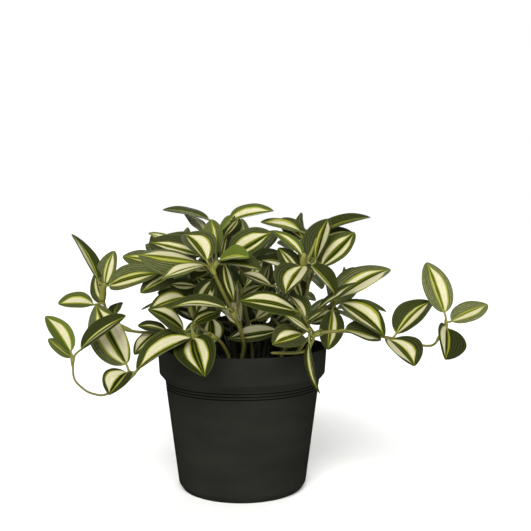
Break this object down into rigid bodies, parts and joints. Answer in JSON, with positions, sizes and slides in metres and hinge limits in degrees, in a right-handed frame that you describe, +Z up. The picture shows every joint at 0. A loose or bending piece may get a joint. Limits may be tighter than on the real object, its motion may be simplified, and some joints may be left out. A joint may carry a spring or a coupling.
{
  "type": "potted tradescantia",
  "caption": "Potted tradescantia: striped pointed leaves on branching, trailing stems that stand in dark soil, in a round tapered pot with a rim band.",
  "frame": {"origin": "centre of the pot's flat underside", "axes": "+Z up along the pot's axis, +X to the right and -Y to the front of the plant"},
  "size_m": [0.3002, 0.2319, 0.2007],
  "materials": {
    "pot": "dark charcoal moulded plastic, satin",
    "soil": "near-black crumbly filling",
    "leaf": "dark green blades with cream and lime stripes, fine ribs, soft sheen"
  },
  "bodies": {
    "root": {"pot": "pot", "soil": "soil", "stem_front_tall": "leaf", "stem_front_left": "leaf", "stem_left_trailing": "leaf", "stem_left_high": "leaf", "stem_left_middle": "leaf", "stem_top_left": "leaf", "stem_centre_low": "leaf", "stem_centre_right": "leaf", "stem_centre_inner": "leaf", "stem_right_front": "leaf", "stem_right_middle": "leaf", "stem_right_tall": "leaf", "stem_back_a": "leaf", "stem_back_b": "leaf", "stem_back_c": "leaf", "stem_back_d": "leaf", "stem_back_e": "leaf", "stem_back_f": "leaf", "stem_back_g": "leaf", "stem_inner_high": "leaf"}
  },
  "joints": []
}
